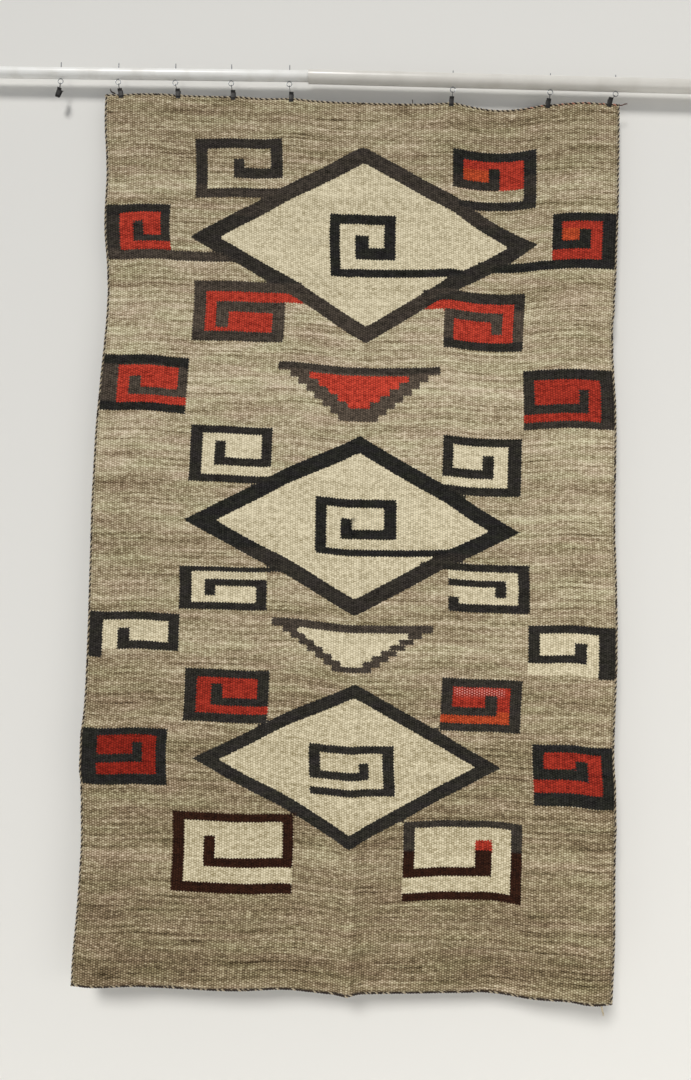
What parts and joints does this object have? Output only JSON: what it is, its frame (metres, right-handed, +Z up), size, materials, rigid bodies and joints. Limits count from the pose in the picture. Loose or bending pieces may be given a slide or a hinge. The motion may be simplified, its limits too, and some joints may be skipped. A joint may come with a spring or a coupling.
{
  "type": "handwoven wool rug hanging by clips from a rod",
  "caption": "Flat woven wool rug with diamonds and square hooks, hung flat from a two-part round rod by spring clips on wire loops and screw eyes.",
  "frame": {"origin": "on the rod's axis where the rod is held, above the middle of the rug", "axes": "+Z up the hanging rug, +X along the rod towards its wide tube, -Y out of the rug's face"},
  "size_m": [1.8121, 0.0393, 2.3072],
  "materials": {
    "wool_cloth": "matt tapestry-woven wool",
    "edge_cord": "twisted two-ply wool cord",
    "loose_yarn": "unspun wool wisp",
    "rod_white": "white extruded pipe, satin",
    "eye_steel": "bright zinc-plated wire",
    "clip_black": "black lacquered spring steel"
  },
  "bodies": {
    "root": {"clip_1_back_jaw": "clip_black", "clip_1_front_jaw": "clip_black", "clip_1_wire_loop": "clip_black", "clip_2_back_jaw": "clip_black", "clip_2_front_jaw": "clip_black", "clip_2_wire_loop": "clip_black", "clip_3_back_jaw": "clip_black", "clip_3_front_jaw": "clip_black", "clip_3_wire_loop": "clip_black", "clip_4_back_jaw": "clip_black", "clip_4_front_jaw": "clip_black", "clip_4_wire_loop": "clip_black", "clip_5_back_jaw": "clip_black", "clip_5_front_jaw": "clip_black", "clip_5_wire_loop": "clip_black", "clip_6_back_jaw": "clip_black", "clip_6_front_jaw": "clip_black", "clip_6_wire_loop": "clip_black", "clip_7_back_jaw": "clip_black", "clip_7_front_jaw": "clip_black", "clip_7_wire_loop": "clip_black", "clip_8_back_jaw": "clip_black", "clip_8_front_jaw": "clip_black", "clip_8_wire_loop": "clip_black", "corner_tail_left": "edge_cord", "corner_tail_right": "edge_cord", "edge_thread": "edge_cord", "hem_edge_cord": "edge_cord", "hem_wisp": "loose_yarn", "left_edge_cord": "edge_cord", "right_edge_cord": "edge_cord", "rod_thin_tube": "rod_white", "rod_wide_tube": "rod_white", "rug_cloth": "wool_cloth", "screw_eye_1": "eye_steel", "screw_eye_2": "eye_steel", "screw_eye_3": "eye_steel", "screw_eye_4": "eye_steel", "screw_eye_5": "eye_steel", "screw_eye_6": "eye_steel", "screw_eye_7": "eye_steel", "screw_eye_8": "eye_steel", "top_edge_cord": "edge_cord"}
  },
  "joints": []
}
